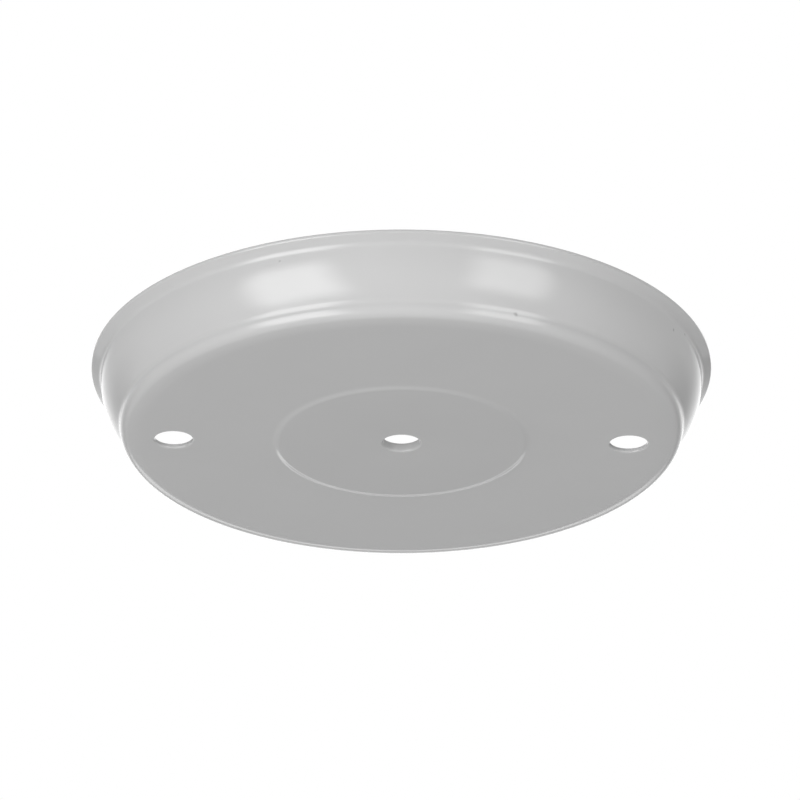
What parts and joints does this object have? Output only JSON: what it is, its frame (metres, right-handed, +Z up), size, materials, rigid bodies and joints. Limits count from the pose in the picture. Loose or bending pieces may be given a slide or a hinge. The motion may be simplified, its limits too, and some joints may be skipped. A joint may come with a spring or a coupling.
{
  "type": "light fixture ceiling canopy",
  "caption": "Shallow round pressed-steel canopy that covers a ceiling box, with a turned-out lip, a creased bowed wall, a raised centre disc and holes for stem and screws.",
  "frame": {"origin": "middle of the raised centre disc, on its show face, the lowest plane of the part", "axes": "+Z up to the ceiling along the axis of the middle hole; X runs along the line of the holes"},
  "size_m": [0.1216, 0.1216, 0.0156],
  "materials": {
    "canopy": "white gloss enamel on steel"
  },
  "bodies": {
    "root": {"canopy": "canopy"}
  },
  "joints": []
}
